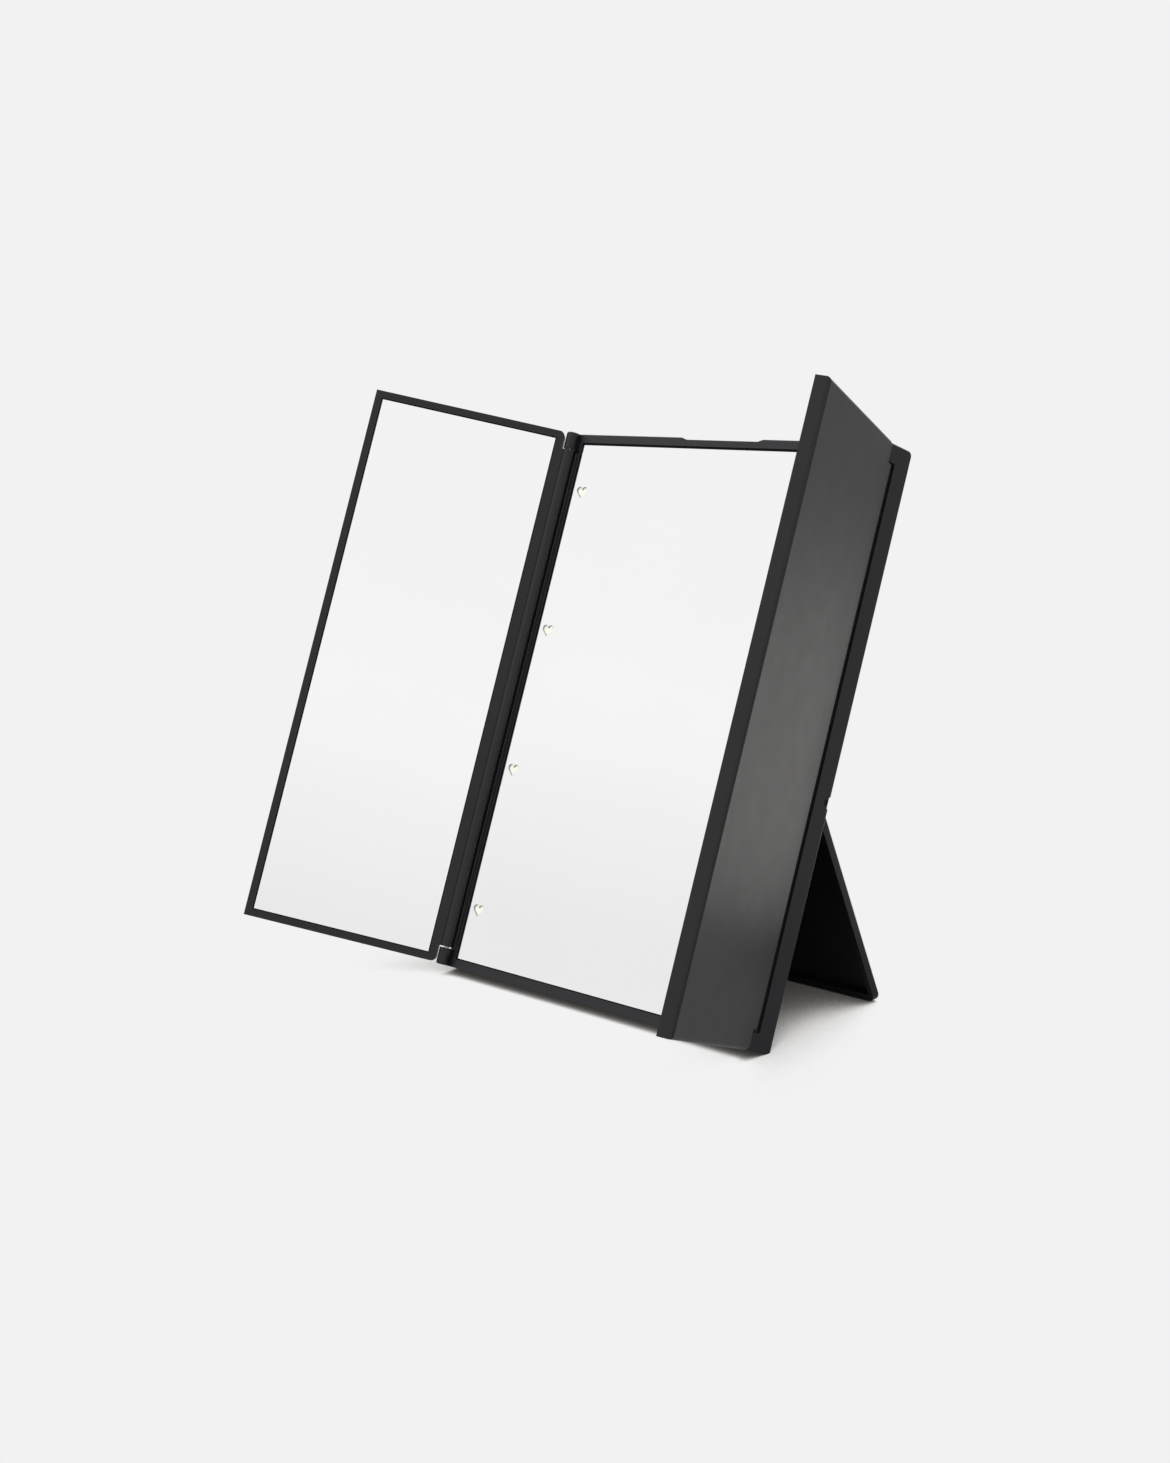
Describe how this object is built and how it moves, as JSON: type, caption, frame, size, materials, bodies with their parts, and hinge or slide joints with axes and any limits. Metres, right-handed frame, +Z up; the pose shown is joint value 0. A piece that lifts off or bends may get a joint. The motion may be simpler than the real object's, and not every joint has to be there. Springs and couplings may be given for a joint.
{
  "type": "tri-fold table mirror",
  "caption": "Lighted tri-fold table mirror: shallow case, two hinged door mirrors, heart-shaped light windows and a fold-out rear stand.",
  "frame": {"origin": "middle of the flat on the case's lower rear edge that stands on the table", "axes": "+X to the viewer's right across the case, -Y out of the front towards the viewer, +Z up; the table is Z = 0"},
  "size_m": [0.2308, 0.1488, 0.2033],
  "materials": {
    "black_satin": "fine satin moulded ABS",
    "door_satin": "fine satin moulded ABS",
    "silvered_glass": "polished, silvered behind",
    "white_tape": "double-sided foam tape",
    "warm_diffuser": "translucent moulded diffuser",
    "board_white": "white solder mask",
    "lamp_yellow": "phosphor in clear resin",
    "black_inner": "plain moulded ABS",
    "cell_steel": "nickel-plated can",
    "spring_metal": "nickel-plated spring strip",
    "switch_metal": "tinned switch can",
    "knob_black": "ridged",
    "chip_black": "epoxy",
    "red_lead": "PVC insulation",
    "black_lead": "PVC insulation",
    "screw_steel": "zinc-plated",
    "pin_steel": "drawn wire",
    "foot_rubber": "matt"
  },
  "bodies": {
    "case": {"base_frame": "black_satin", "back_cover": "black_satin", "centre_mirror": "silvered_glass", "centre_mirror_tape": "white_tape", "heart_lens_left": "warm_diffuser", "heart_lens_right": "warm_diffuser", "led_board_left": "board_white", "led_board_right": "board_white", "leds_left": "lamp_yellow", "leds_right": "lamp_yellow", "battery_holder": "black_inner", "coin_cells": "cell_steel", "battery_contact_plus": "spring_metal", "battery_contact_minus": "spring_metal", "control_board": "board_white", "switch_body": "switch_metal", "resistors": "chip_black", "wires_red": "red_lead", "wires_black": "black_lead", "case_screws": "screw_steel", "hinge_pin_left": "pin_steel", "hinge_pin_right": "pin_steel"},
    "left_door": {"left_door_frame": "door_satin", "left_door_mirror": "silvered_glass", "left_door_tape": "white_tape"},
    "right_door": {"right_door_frame": "door_satin", "right_door_mirror": "silvered_glass", "right_door_tape": "white_tape"},
    "stand": {"stand_panel": "black_satin", "stand_feet": "foot_rubber", "stand_pins": "pin_steel"},
    "hatch": {"battery_hatch": "black_satin", "battery_bridge": "spring_metal"},
    "knob": {"switch_knob": "knob_black"}
  },
  "joints": [
    {"name": "left_door_hinge", "type": "hinge", "parent": "case", "child": "left_door", "pos_m": [-0.0717, 0.03097, 0.08987], "axis": [0, 0.4226, 0.9063], "range_deg": [-40.8, 138.2]},
    {"name": "right_door_hinge", "type": "hinge", "parent": "case", "child": "right_door", "pos_m": [0.0717, 0.03097, 0.08987], "axis": [0, 0.4226, 0.9063], "range_deg": [-114.1, 64.9]},
    {"name": "stand_hinge", "type": "hinge", "parent": "case", "child": "stand", "pos_m": [0, 0.03252, 0.07094], "axis": [1, 0, 0], "range_deg": [-42, 0]},
    {"name": "battery_hatch_hinge", "type": "hinge", "parent": "case", "child": "hatch", "pos_m": [0, 0.04914, 0.10446], "axis": [1, 0, 0], "range_deg": [-70, 0]},
    {"name": "power_slide", "type": "slide", "parent": "case", "child": "knob", "axis": [1, 0, 0], "range_m": [0, 0.002]}
  ]
}
